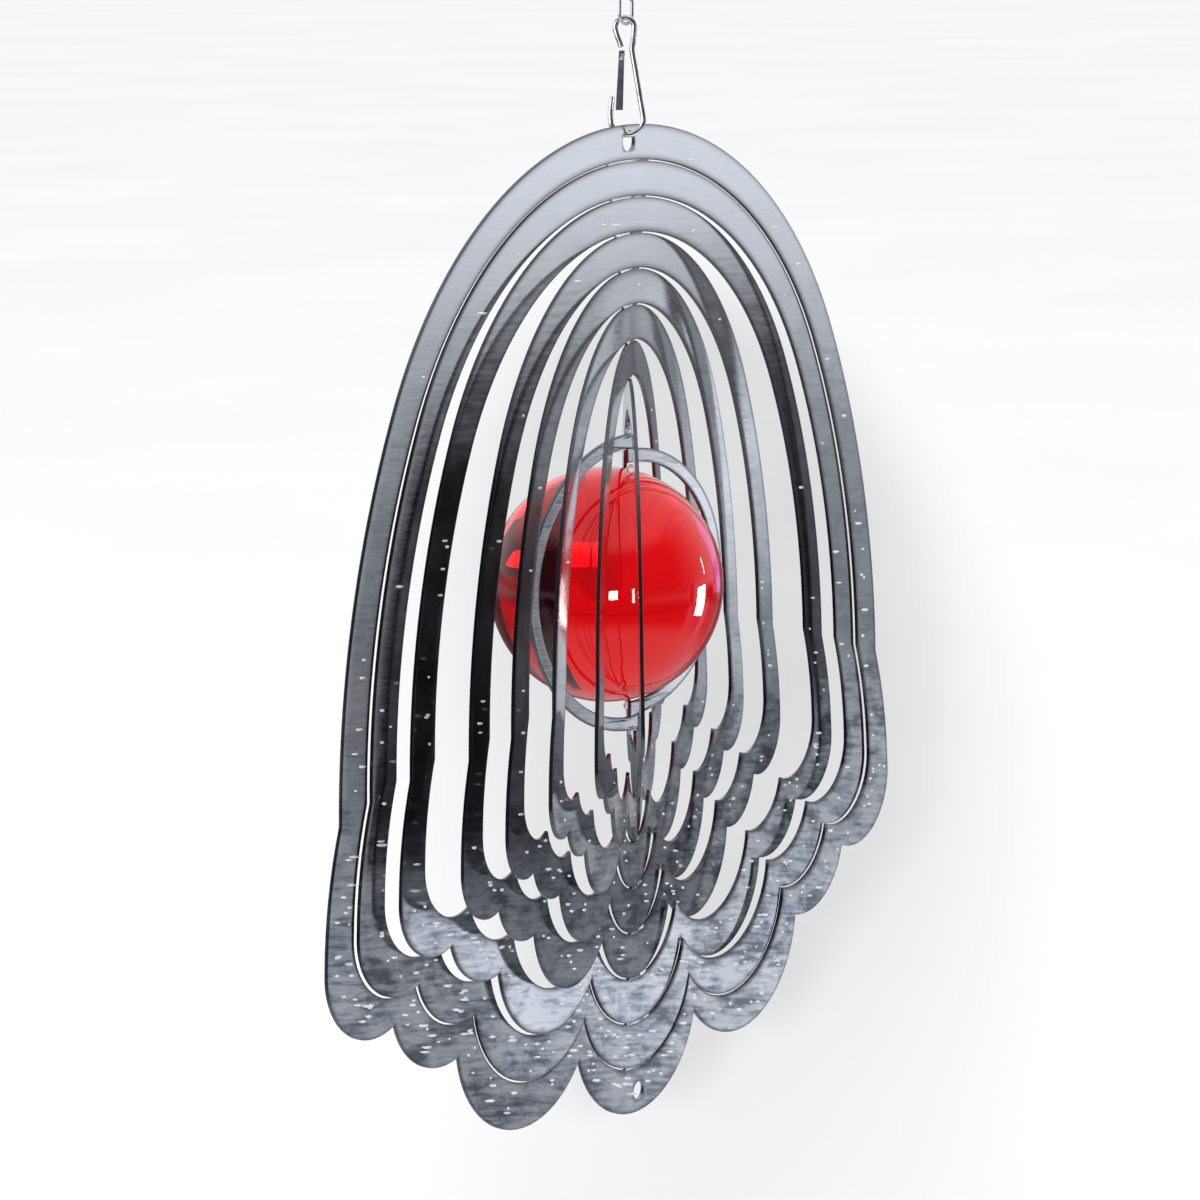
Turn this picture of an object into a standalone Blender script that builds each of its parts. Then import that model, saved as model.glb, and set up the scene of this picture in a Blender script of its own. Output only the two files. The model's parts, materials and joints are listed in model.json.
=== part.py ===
"""Kinetic wind sculpture: nested flat rings of mirror steel around a glass ball.

Metres, +Z up, +Y away from the viewer.  The origin is the hanging point, at the inside top of
the swivel's upper eye.  Every ring turns about the vertical line through the origin.
"""
import math

import bmesh
import bpy
from mathutils import Matrix, Vector
from mathutils.geometry import tessellate_polygon

for old in list(bpy.data.objects):
    bpy.data.objects.remove(old, do_unlink=True)

MM = 0.001

# ---------------------------------------------------------------- driving dimensions (mm)
CROWN_R = 91.0            # radius of the round top of the outermost ring
CENTRE_Z = -132.075         # height of the common centre of all ring outlines
SHEET = 0.8               # thickness of the steel sheet
RING_COUNT = 8
PITCH = 0.0825            # ring to ring step, as a share of the outline
KERF = 0.005              # slot between two rings, as a share of the outline
YAWS = (56.0, 56.6, 59.0, 65.1, 69.4, 74.6, 82.0, 92.5)   # how far each ring is turned, degrees

# outline of the ring sheet, as shares of CROWN_R: half widths and heights of its corners
CROWN_END = 27.0                   # degrees above level where the crown runs into the flank
FLANK_FOOT = (1.111, -0.411)       # where the flank meets the side lobe
SIDE_LOBE_MID = (1.172, -0.715)    # widest part of the side lobe
SIDE_LOBE_FOOT = (0.942, -0.887)
SMALL_LOBE_FOOT = (0.714, -1.019)
LOWER_LOBE_FOOT = (0.245, -1.149)
CENTRE_LOBE_LOW = 1.338            # depth of the centre lobe
SIDE_LOBE_BOW = 0.012
SIDE_LOBE_END_BOW = 0.082
SMALL_LOBE_BOW = 0.055
LOWER_LOBE_BOW = 0.163

TOP_HOLE_R = 2.25
TOP_HOLE_Z = 87.6                  # above the common centre
LOW_HOLE_R = 2.0
LOW_HOLE_Z = -117.1

BRIDGE_TOP_HALF = (7.5, 6.6, 5.8, 5.0, 4.4, 3.8, 3.2)     # half widths of the uncut bridges
BRIDGE_LOW_HALF = (5.0, 4.6, 4.2, 3.8, 3.4, 3.0, 2.6)
BRIDGE_DEEP = 1.1                  # how far a bridge reaches into the next ring
BRIDGE_GAP = 0.35

CAGE_YAW = 48.0
CAGE_Z = -5.3                      # cage centre against the common centre
CAGE_R = 31.8                      # outer radius of the wider half
CAGE_STRIP = 2.9
CAGE_STEP = 3.25                   # the other half is this much smaller
CAGE_NECK = 1.35                   # half width of the necks that join the halves
CAGE_STEM = 1.25                   # half width of the stems from ring 8 to the cage

BALL_R = 25.0
BALL_OFF = 7.4                     # ball centre, out of the cage's plane
BALL_Z = -6.6

WIRE = 1.2                         # snap hook wire diameter
HOOK_LOW_Z = 88.9                  # middle of the wire at the bottom of the hook
HOOK_LOW_R = 3.4
EYE_WIRE = 0.75
EYE_YAW = 56.0

# ---------------------------------------------------------------- materials


def material(name, colour, metallic, roughness, transmission=0.0):
    mat = bpy.data.materials.new(name)
    mat.use_nodes = True
    shader = mat.node_tree.nodes["Principled BSDF"]
    shader.inputs["Base Color"].default_value = (colour[0], colour[1], colour[2], 1.0)
    shader.inputs["Metallic"].default_value = metallic
    shader.inputs["Roughness"].default_value = roughness
    shader.inputs["Transmission Weight"].default_value = transmission
    mat.diffuse_color = (colour[0], colour[1], colour[2], 1.0)
    return mat


# ---------------------------------------------------------------- plane curves


def bow(start, end, rise, steps):
    """Circular arc from start to end that bows outwards by rise on a clockwise outline."""
    sx, sz = start
    ex, ez = end
    chord = math.hypot(ex - sx, ez - sz)
    dx, dz = (ex - sx) / chord, (ez - sz) / chord
    nx, nz = -dz, dx
    radius = (chord * chord / 4 + rise * rise) / (2 * rise)
    cx = (sx + ex) / 2 + nx * (rise - radius)
    cz = (sz + ez) / 2 + nz * (rise - radius)
    half = math.asin(min(1.0, chord / 2 / radius))
    if rise > radius:
        half = math.pi - half
    points = []
    for i in range(1, steps + 1):
        a = -half + 2 * half * i / steps
        x = cx + radius * (math.sin(a) * dx + math.cos(a) * nx)
        z = cz + radius * (math.sin(a) * dz + math.cos(a) * nz)
        points.append((x, z))
    return points


def half_outline():
    """Right half of the ring outline from the crown down to the middle of the centre lobe."""
    points = [(0.0, 1.0)]
    end = math.radians(CROWN_END)
    for i in range(1, 13):
        a = math.pi / 2 + (end - math.pi / 2) * i / 12
        points.append((math.cos(a), math.sin(a)))
    sx, sz = points[-1]
    fx, fz = FLANK_FOOT
    chord = math.hypot(fx - sx, fz - sz)
    lean = math.atan2(fx - sx, sz - fz)
    points += bow((sx, sz), FLANK_FOOT, chord / 2 * math.tan((end - lean) / 2), 9)
    points += bow(FLANK_FOOT, SIDE_LOBE_MID, SIDE_LOBE_BOW, 4)
    points += bow(SIDE_LOBE_MID, SIDE_LOBE_FOOT, SIDE_LOBE_END_BOW, 9)
    points += bow(SIDE_LOBE_FOOT, SMALL_LOBE_FOOT, SMALL_LOBE_BOW, 7)
    points += bow(SMALL_LOBE_FOOT, LOWER_LOBE_FOOT, LOWER_LOBE_BOW, 11)
    fx, fz = LOWER_LOBE_FOOT
    centre = bow(LOWER_LOBE_FOOT, (-fx, fz), CENTRE_LOBE_LOW + fz, 12)
    points += centre[:6]
    return points


HALF = half_outline()


def outline(share, top=None, low=None):
    """Closed outline scaled by share, in mm, clockwise from the crown.

    top and low are (half width, height): between the two half widths the outline is replaced
    by a flat at that height, which makes a tongue or a recess at the bridge.
    """
    right = [(x * share * CROWN_R, z * share * CROWN_R) for x, z in HALF]
    if top:
        half, height = top
        edge = math.sqrt((share * CROWN_R) ** 2 - half * half)
        right = [(half, height), (half, edge)] + [p for p in right if p[0] > half + 0.2 or p[1] < 0]
    if low:
        half, height = low
        low_edge = cut_height(right, half)
        keep = [p for p in right if p[1] > 0 or p[0] > half + 0.2]
        right = keep + [(half, low_edge), (half, height)]
    left = [(-x, z) for x, z in reversed(right) if x > 1e-9]
    return right + left


def cut_height(points, half):
    """Height at which the lowest lobe of the outline is half away from the middle."""
    for (ax, az), (bx, bz) in zip(points[::-1][1:], points[::-1]):
        if min(ax, bx) <= half <= max(ax, bx):
            t = (half - bx) / (ax - bx)
            return bz + t * (az - bz)
    return points[-1][1]


def circle(radius, height, steps=24, x=0.0):
    points = []
    for i in range(steps):
        a = 2 * math.pi * i / steps
        points.append((x + radius * math.cos(a), height + radius * math.sin(a)))
    return points


# ---------------------------------------------------------------- solids


def finish(name, bm, mat, origin, spin):
    """Turn bm (mm, drawn in X and Z) by spin about Z, and put its origin at origin."""
    bmesh.ops.recalc_face_normals(bm, faces=bm.faces)
    turn = Matrix.Rotation(math.radians(spin), 4, "Z")
    bm.transform(turn @ Matrix.Scale(MM, 4))
    mesh = bpy.data.meshes.new(name)
    bm.to_mesh(mesh)
    bm.free()
    mesh.materials.append(mat)
    part = bpy.data.objects.new(name, mesh)
    part.location = Vector(origin) * MM
    bpy.context.scene.collection.objects.link(part)
    return part


def sheet_piece(name, loops, thick, mat, origin, spin):
    """Flat piece bounded by the first loop, with the other loops as openings."""
    bm = bmesh.new()
    front = []
    back = []
    for loop in loops:
        for x, z in loop:
            front.append(bm.verts.new((x, -thick / 2, z)))
            back.append(bm.verts.new((x, thick / 2, z)))
    polys = [[Vector((x, z, 0.0)) for x, z in loop] for loop in loops]
    for a, b, c in tessellate_polygon(polys):
        bm.faces.new((front[a], front[b], front[c]))
        bm.faces.new((back[c], back[b], back[a]))
    start = 0
    for loop in loops:
        count = len(loop)
        for i in range(count):
            a = start + i
            b = start + (i + 1) % count
            bm.faces.new((front[a], front[b], back[b], back[a]))
        start += count
    return finish(name, bm, mat, origin, spin)


def turned_piece(name, profile, steps, mat, origin):
    """Closed profile of (radius, height) turned about Z.  Radius 0 closes the piece."""
    bm = bmesh.new()
    rows = []
    for r, z in profile:
        if r < 1e-9:
            rows.append([bm.verts.new((0.0, 0.0, z))])
            continue
        row = []
        for i in range(steps):
            a = 2 * math.pi * i / steps
            row.append(bm.verts.new((r * math.cos(a), r * math.sin(a), z)))
        rows.append(row)
    ring = profile[0][0] > 1e-9
    pairs = len(rows) if ring else len(rows) - 1
    for k in range(pairs):
        low = rows[k]
        high = rows[(k + 1) % len(rows)]
        for i in range(steps):
            j = (i + 1) % steps
            if len(low) == 1:
                bm.faces.new((low[0], high[i], high[j]))
            elif len(high) == 1:
                bm.faces.new((low[i], high[0], low[j]))
            else:
                bm.faces.new((low[i], low[j], high[j], high[i]))
    return finish(name, bm, mat, origin, 0.0)


def wire_piece(name, path, wire, mat, origin, spin, sides=10, closed=False):
    """Round wire along a path drawn in the XZ plane."""
    bm = bmesh.new()
    rows = []
    count = len(path)
    for i in range(count):
        if closed:
            before = path[i - 1]
            after = path[(i + 1) % count]
        else:
            before = path[max(i - 1, 0)]
            after = path[min(i + 1, count - 1)]
        along = math.atan2(after[1] - before[1], after[0] - before[0])
        nx, nz = -math.sin(along), math.cos(along)
        row = []
        for k in range(sides):
            a = 2 * math.pi * k / sides
            out = wire / 2 * math.cos(a)
            row.append(bm.verts.new((path[i][0] + nx * out, wire / 2 * math.sin(a), path[i][1] + nz * out)))
        rows.append(row)
    last = count if closed else count - 1
    for i in range(last):
        here = rows[i]
        there = rows[(i + 1) % count]
        for k in range(sides):
            j = (k + 1) % sides
            bm.faces.new((here[k], here[j], there[j], there[k]))
    if not closed:
        bm.faces.new(rows[0])
        bm.faces.new(rows[-1][::-1])
    return finish(name, bm, mat, origin, spin)


def arc_points(cx, cz, radius, start, end, steps):
    points = []
    for i in range(steps + 1):
        a = math.radians(start + (end - start) * i / steps)
        points.append((cx + radius * math.cos(a), cz + radius * math.sin(a)))
    return points


# ---------------------------------------------------------------- rings


def ring_outer(k):
    return 1.0 - PITCH * (k - 1) - (KERF if k > 1 else 0.0)


def ring_inner(k):
    return 1.0 - PITCH * k


def build_ring(k):
    """Ring k of the sheet, outermost first, with bridge tongues inwards and recesses outwards."""
    outer = ring_outer(k)
    inner = ring_inner(k)
    if k == 1:
        outside = outline(outer)
    else:
        half_top = BRIDGE_TOP_HALF[k - 2] + 0.7
        half_low = BRIDGE_LOW_HALF[k - 2] + 0.7
        top = (half_top, outer * CROWN_R - BRIDGE_DEEP)
        low = (half_low, -outer * CROWN_R * CENTRE_LOBE_LOW + BRIDGE_DEEP)
        outside = outline(outer, top, low)
    if k < RING_COUNT:
        reach = BRIDGE_DEEP - BRIDGE_GAP
        top = (BRIDGE_TOP_HALF[k - 1], ring_outer(k + 1) * CROWN_R - reach)
        low = (BRIDGE_LOW_HALF[k - 1], -ring_outer(k + 1) * CROWN_R * CENTRE_LOBE_LOW + reach)
    else:
        top = (CAGE_STEM, CAGE_Z + CAGE_R + BRIDGE_GAP)
        low = (CAGE_STEM, CAGE_Z - CAGE_R - BRIDGE_GAP)
    loops = [outside, outline(inner, top, low)]
    if k == 1:
        loops.append(circle(TOP_HOLE_R, TOP_HOLE_Z, 28))
        loops.append(circle(LOW_HOLE_R, LOW_HOLE_Z, 28))
    tint = 0.62 + 0.02 * k
    mat = material("steel_ring_%d" % k, (tint, tint, tint + 0.02), 1.0, 0.08)
    return sheet_piece("ring_%d" % k, loops, SHEET, mat, (0.0, 0.0, CENTRE_Z), YAWS[k - 1])


for number in range(1, RING_COUNT + 1):
    build_ring(number)

# ---------------------------------------------------------------- cage and ball

small_r = CAGE_R - CAGE_STEP


def stepped_loop(wide, narrow, split):
    """Round loop of radius wide left of split and narrow right of it."""
    a_wide = math.degrees(math.acos(split / wide))
    a_narrow = math.degrees(math.acos(split / narrow))
    points = arc_points(0.0, CAGE_Z, wide, a_wide, 360.0 - a_wide, 44)
    points += arc_points(0.0, CAGE_Z, narrow, 360.0 - a_narrow, 360.0 + a_narrow, 40)
    return points


cage_outside = stepped_loop(CAGE_R, small_r, CAGE_NECK)
cage_inside = stepped_loop(CAGE_R - CAGE_STRIP, small_r - CAGE_STRIP, -CAGE_NECK)
cage_steel = material("steel_cage", (0.86, 0.86, 0.88), 1.0, 0.10)
sheet_piece("ball_cage", [cage_outside, cage_inside], SHEET, cage_steel, (0.0, 0.0, CENTRE_Z), CAGE_YAW)

cage_turn = math.radians(CAGE_YAW)
off_x = -math.sin(cage_turn)
off_y = math.cos(cage_turn)

ball_profile = []
for step in range(25):
    angle = -math.pi / 2 + math.pi * step / 24
    ball_profile.append((BALL_R * math.cos(angle) if 0 < step < 24 else 0.0, BALL_R * math.sin(angle)))
red_glass = material("red_glass", (0.75, 0.01, 0.02), 0.0, 0.02, 1.0)
turned_piece("glass_ball", ball_profile, 48, red_glass,
             (off_x * BALL_OFF, off_y * BALL_OFF, CENTRE_Z + BALL_Z))


def bead(name, radius, tall, away, height):
    """Rounded bead of cement, away mm out of the cage's plane on the ball's side."""
    cement = material(name + "_clear", (0.80, 0.80, 0.76), 0.0, 0.15)
    profile = []
    for i in range(9):
        a = -math.pi / 2 + math.pi * i / 8
        profile.append((radius * math.cos(a) if 0 < i < 8 else 0.0, tall / 2 * math.sin(a)))
    turned_piece(name, profile, 16, cement, (off_x * away, off_y * away, CENTRE_Z + height))


section = math.sqrt(BALL_R ** 2 - (BALL_OFF - 0.4) ** 2)
ball_top = BALL_Z + section
neck_top = CAGE_Z + small_r - CAGE_STRIP
neck_low = CAGE_Z - small_r + CAGE_STRIP
bead("cement_top", 1.0, neck_top - ball_top - 0.9, 0.0, (neck_top + ball_top) / 2 + 0.05)
bead("cement_low", 0.9, 1.8, 1.65, neck_low - 1.25)

# ---------------------------------------------------------------- snap hook

hook_steel = material("hook_steel", (0.80, 0.80, 0.82), 1.0, 0.12)
tang_steel = material("tang_steel", (0.78, 0.78, 0.80), 1.0, 0.14)
gate_steel = material("gate_steel", (0.88, 0.88, 0.88), 1.0, 0.15)
pin_steel = material("pin_steel", (0.70, 0.70, 0.72), 1.0, 0.16)

low_z = HOOK_LOW_Z + HOOK_LOW_R
waist_z = 106.4
loop_z = 111.0
loop_r = 1.95
nose_z = 97.0


def along(start, end, steps):
    """Points after start up to end on the straight line between them."""
    points = []
    for i in range(1, steps + 1):
        t = i / steps
        points.append((start[0] + (end[0] - start[0]) * t, start[1] + (end[1] - start[1]) * t))
    return points


hook_path = [(-3.0, nose_z)]
hook_path += along(hook_path[-1], (-HOOK_LOW_R, low_z + 1.2), 2)
hook_path += arc_points(0.0, low_z, HOOK_LOW_R, 180.0, 360.0, 14)
hook_path += along(hook_path[-1], (1.2, waist_z), 4)
hook_path += along(hook_path[-1], (1.4, waist_z + 1.6), 1)
hook_path += arc_points(-0.25, loop_z, loop_r, -22.0, 202.0, 12)
hook_path += along(hook_path[-1], (-0.98, waist_z + 0.4), 3)
wire_piece("snap_hook", hook_path, WIRE, hook_steel, (0.0, 0.0, CENTRE_Z), 0.0)

PIN_X = -0.95             # gate pin against the hook's middle
PIN_Z = 105.3
PIN_R = 0.2
PIN_IN = 0.15             # pin's middle against the gate's own middle
GATE_LEN = 11.3
GATE_LEAN = -0.65         # how far the gate's tip stands off to the nose's side


def drill(part, radius, length, x, z):
    """Round hole along Y through part, at x and z of its own origin."""
    bm = bmesh.new()
    ends = []
    for y in (-length / 2, length / 2):
        row = []
        for i in range(20):
            a = 2 * math.pi * i / 20
            row.append(bm.verts.new((x + radius * math.cos(a), y, z + radius * math.sin(a))))
        ends.append(row)
    for i in range(20):
        j = (i + 1) % 20
        bm.faces.new((ends[0][i], ends[0][j], ends[1][j], ends[1][i]))
    bm.faces.new(ends[0])
    bm.faces.new(ends[1][::-1])
    cutter = finish("cutter", bm, part.data.materials[0], part.location / MM, 0.0)
    cut = part.modifiers.new("hole", "BOOLEAN")
    cut.operation = "DIFFERENCE"
    cut.solver = "EXACT"
    cut.object = cutter
    bpy.context.view_layer.update()
    graph = bpy.context.evaluated_depsgraph_get()
    done = bpy.data.meshes.new_from_object(part.evaluated_get(graph))
    part.modifiers.clear()
    part.data = done
    bpy.data.objects.remove(cutter, do_unlink=True)


def build_gate():
    """Folded channel, open towards the hook's leg, that tapers up to its pin."""
    bm = bmesh.new()
    rows = []
    wall = 0.28
    for height, half_x, half_y in ((0.9, 0.62, 0.95), (-1.2, 0.62, 0.95), (-GATE_LEN, 0.78, 1.15)):
        cx = GATE_LEAN * (0.9 - height) / (0.9 + GATE_LEN)
        corners = (
            (-half_x, -half_y), (half_x, -half_y),
            (half_x, -half_y + wall), (-half_x + wall, -half_y + wall),
            (-half_x + wall, half_y - wall), (half_x, half_y - wall),
            (half_x, half_y), (-half_x, half_y),
        )
        rows.append([bm.verts.new((cx + x, y, height)) for x, y in corners])
    for low, high in zip(rows, rows[1:]):
        for i in range(8):
            j = (i + 1) % 8
            bm.faces.new((low[i], low[j], high[j], high[i]))
    for row in (rows[0], rows[-1]):
        bm.faces.new((row[0], row[1], row[2], row[3]))
        bm.faces.new((row[0], row[3], row[4], row[7]))
        bm.faces.new((row[4], row[5], row[6], row[7]))
    gate = finish("hook_gate", bm, gate_steel, (PIN_X, 0.0, CENTRE_Z + PIN_Z), 0.0)
    drill(gate, PIN_R + 0.07, 4.0, PIN_IN, 0.0)


build_gate()

tang = [(-0.25, 0.95), (0.62, 0.95), (0.62, -0.3), (0.35, -0.55), (-0.03, -0.55), (-0.25, -0.3)]
sheet_piece("hook_tang", [tang, circle(PIN_R + 0.07, 0.0, 20, PIN_IN)], 0.5, tang_steel,
            (PIN_X, 0.0, CENTRE_Z + PIN_Z), 0.0)


def rod(name, radius, length, mat, origin):
    """Short rod along Y."""
    bm = bmesh.new()
    ends = []
    for y in (-length / 2, length / 2):
        row = []
        for i in range(20):
            a = 2 * math.pi * i / 20
            row.append(bm.verts.new((radius * math.cos(a), y, radius * math.sin(a))))
        ends.append(row)
    for i in range(20):
        j = (i + 1) % 20
        bm.faces.new((ends[0][i], ends[0][j], ends[1][j], ends[1][i]))
    bm.faces.new(ends[0])
    bm.faces.new(ends[1][::-1])
    return finish(name, bm, mat, origin, 0.0)


rod("gate_pin", PIN_R, 2.6, pin_steel, (PIN_X + PIN_IN, 0.0, CENTRE_Z + PIN_Z))

# ---------------------------------------------------------------- barrel swivel

EYE_HALF = 2.3            # half width of an eye to the middle of its wire
EYE_TALL = 3.1            # straight part between the two round ends
EYE_LOW = 111.65          # middle of the wire at the bottom of the lower eye
BARREL_R = 1.9
BARREL_LEN = 6.4
SHANK = 1.3               # how far a shank stands into the barrel

eye_far = 2 * EYE_HALF + EYE_TALL - 0.5
barrel_low = EYE_LOW + eye_far


def eye_path(up):
    """Shank and eye of one side.  up is +1 for the upper eye and -1 for the lower one."""
    points = [(0.0, SHANK), (0.0, 0.1), (0.3, -0.5), (0.95, -0.95)]
    points += arc_points(0.0, -EYE_HALF - 0.75, EYE_HALF, 44.0, 0.0, 3)
    points += arc_points(0.0, -eye_far + EYE_HALF, EYE_HALF, 0.0, -180.0, 14)
    points += arc_points(0.0, -EYE_HALF - 0.75, EYE_HALF, 180.0, 116.0, 4)
    return [(x, -up * z) for x, z in points]


def swivel_steel(name):
    return material(name, (0.72, 0.72, 0.70), 1.0, 0.18)


wire_piece("swivel_lower_eye", eye_path(-1), EYE_WIRE, swivel_steel("lower_eye_steel"),
           (0.0, 0.0, CENTRE_Z + barrel_low), EYE_YAW)
wire_piece("swivel_upper_eye", eye_path(1), EYE_WIRE, swivel_steel("upper_eye_steel"),
           (0.0, 0.0, CENTRE_Z + barrel_low + BARREL_LEN), EYE_YAW + 90.0)

bore = EYE_WIRE / 2 + 0.1
cave = 1.35
half_len = BARREL_LEN / 2
barrel_profile = [
    (bore, -half_len), (0.95, -half_len), (1.3, -half_len + 0.55), (BARREL_R, -half_len + 1.3),
    (BARREL_R, half_len - 1.3), (1.3, half_len - 0.55), (0.95, half_len), (bore, half_len),
    (bore, half_len - 0.85), (cave, half_len - 1.25), (cave, -half_len + 1.25), (bore, -half_len + 0.85),
]
turned_piece("swivel_barrel", barrel_profile, 24, swivel_steel("barrel_steel"),
             (0.0, 0.0, CENTRE_Z + barrel_low + half_len))


def head(name, height):
    """Head inside the barrel that keeps an eye's shank in."""
    profile = [(0.0, -0.35), (0.95, -0.35), (1.1, -0.1), (1.1, 0.15), (0.7, 0.35), (0.0, 0.35)]
    turned_piece(name, profile, 20, swivel_steel(name + "_steel"), (0.0, 0.0, CENTRE_Z + height))


head("swivel_lower_head", barrel_low + SHANK + 0.42)
head("swivel_upper_head", barrel_low + BARREL_LEN - SHANK - 0.42)
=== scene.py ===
"""Kinetic wind sculpture: polished steel rings fanned about a red glass ball, on a snap hook."""

import json
import math
import random

import bmesh
import bpy
from mathutils import Matrix, Vector

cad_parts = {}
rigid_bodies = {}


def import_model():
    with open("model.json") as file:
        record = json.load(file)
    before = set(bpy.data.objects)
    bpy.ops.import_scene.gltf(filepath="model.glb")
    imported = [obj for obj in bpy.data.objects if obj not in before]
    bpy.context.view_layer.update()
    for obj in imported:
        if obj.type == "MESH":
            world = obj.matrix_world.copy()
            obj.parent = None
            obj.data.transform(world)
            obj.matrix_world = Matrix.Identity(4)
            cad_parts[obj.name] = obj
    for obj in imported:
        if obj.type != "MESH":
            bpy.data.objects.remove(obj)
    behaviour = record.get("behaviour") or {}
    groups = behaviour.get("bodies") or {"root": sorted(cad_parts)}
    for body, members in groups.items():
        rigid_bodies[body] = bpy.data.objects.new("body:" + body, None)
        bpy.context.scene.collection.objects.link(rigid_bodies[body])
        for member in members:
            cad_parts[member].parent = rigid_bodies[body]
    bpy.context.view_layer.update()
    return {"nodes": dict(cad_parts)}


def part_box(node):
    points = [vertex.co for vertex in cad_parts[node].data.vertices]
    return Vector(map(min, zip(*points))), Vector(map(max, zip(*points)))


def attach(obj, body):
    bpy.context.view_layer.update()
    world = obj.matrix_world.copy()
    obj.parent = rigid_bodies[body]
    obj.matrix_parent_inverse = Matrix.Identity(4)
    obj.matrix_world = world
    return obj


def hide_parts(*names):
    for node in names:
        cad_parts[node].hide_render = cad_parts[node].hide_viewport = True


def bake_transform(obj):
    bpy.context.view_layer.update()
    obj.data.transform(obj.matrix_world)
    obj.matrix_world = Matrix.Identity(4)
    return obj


for old in list(bpy.data.objects):
    bpy.data.objects.remove(old, do_unlink=True)

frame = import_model()
nodes = frame["nodes"]

MM = 0.001
CENTRE_Z = -0.132075           # common centre of all rings
CROWN_R = 0.091                # radius of the outer ring's crown
CROWN_MM = 91.0
PITCH = 0.0825                 # step from ring to ring, as a share of CROWN_R
KERF = 0.003                   # width of a cut, as a share of CROWN_R
SHEET = 0.0008
YAWS = (56.0, 56.6, 59.0, 65.1, 69.4, 74.6, 82.0, 92.5)    # degrees each ring is turned
CAGE_YAW = 48.0
CENTRE_LOBE_LOW = 1.338        # lowest point of the outline, as a share of CROWN_R
BRIDGE_TOP_HALF = (7.5, 6.6, 5.8, 5.0, 4.4, 3.8, 3.2)
BRIDGE_LOW_HALF = (5.0, 4.6, 4.2, 3.8, 3.4, 3.0, 2.6)      # half widths of the necks in mm
CAGE_MID = -5.3                # mm above the common centre
CAGE_HALF = 31.8
BALL_R = 0.025
FLOOR_Z = -0.31
FAN_Z = 0.0107                 # the scratches and drops fan out from a point at this height
FAN_REACH = 0.82


# ------------------------------------------------------------------ node helpers


class Tree:
    """Small helper that adds nodes and links them."""

    def __init__(self, tree):
        self.tree = tree
        self.x = 0

    def add(self, kind, **settings):
        node = self.tree.nodes.new(kind)
        node.location = (self.x, 0)
        self.x += 40
        for key, value in settings.items():
            setattr(node, key, value)
        return node

    def put(self, node, name, value):
        socket = node.inputs[name]
        if isinstance(value, bpy.types.NodeSocket):
            self.tree.links.new(value, socket)
        else:
            socket.default_value = value
        return node

    def math(self, operation, a, b=0.0, clamp=False):
        node = self.add("ShaderNodeMath", operation=operation, use_clamp=clamp)
        self.put(node, 0, a)
        self.put(node, 1, b)
        return node.outputs[0]

    def span(self, value, low, high, to_low=0.0, to_high=1.0, smooth=True):
        node = self.add("ShaderNodeMapRange", interpolation_type="SMOOTHSTEP" if smooth else "LINEAR")
        self.put(node, "Value", value)
        self.put(node, "From Min", low)
        self.put(node, "From Max", high)
        self.put(node, "To Min", to_low)
        self.put(node, "To Max", to_high)
        return node.outputs["Result"]

    def mix(self, factor, a, b, blend="MIX"):
        node = self.add("ShaderNodeMix", data_type="RGBA", blend_type=blend)
        self.put(node, 0, factor)
        self.put(node, 6, a)
        self.put(node, 7, b)
        return node.outputs[2]

    def noise(self, vector, scale, detail=3.0, rough=0.5, warp=0.0):
        node = self.add("ShaderNodeTexNoise")
        self.put(node, "Vector", vector)
        self.put(node, "Scale", scale)
        self.put(node, "Detail", detail)
        self.put(node, "Roughness", rough)
        self.put(node, "Distortion", warp)
        return node.outputs["Fac"]

    def stretch(self, vector, scale=(1, 1, 1), turn=0.0, move=(0, 0, 0)):
        node = self.add("ShaderNodeMapping")
        self.put(node, "Vector", vector)
        self.put(node, "Scale", scale)
        self.put(node, "Rotation", (0.0, 0.0, turn))
        self.put(node, "Location", move)
        return node.outputs["Vector"]

    def ramp(self, value, stops):
        node = self.add("ShaderNodeValToRGB")
        self.put(node, "Fac", value)
        elements = node.color_ramp.elements
        while len(elements) < len(stops):
            elements.new(0.5)
        for element, (place, colour) in zip(elements, stops):
            element.position = place
            element.color = (colour[0], colour[1], colour[2], 1.0)
        return node.outputs["Color"]

    def bump(self, shader, strength, distance, height):
        node = self.add("ShaderNodeBump")
        self.put(node, "Strength", strength)
        self.put(node, "Distance", distance)
        self.put(node, "Height", height)
        self.put(shader, "Normal", node.outputs[0])


def new_material(name):
    mat = bpy.data.materials.new(name)
    mat.use_nodes = True
    tree = Tree(mat.node_tree)
    shader = mat.node_tree.nodes["Principled BSDF"]
    return mat, tree, shader


def grey(value, blue=0.0):
    return (value, value * (1 + blue * 0.4), value * (1 + blue), 1.0)


# ------------------------------------------------------------------ materials


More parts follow.
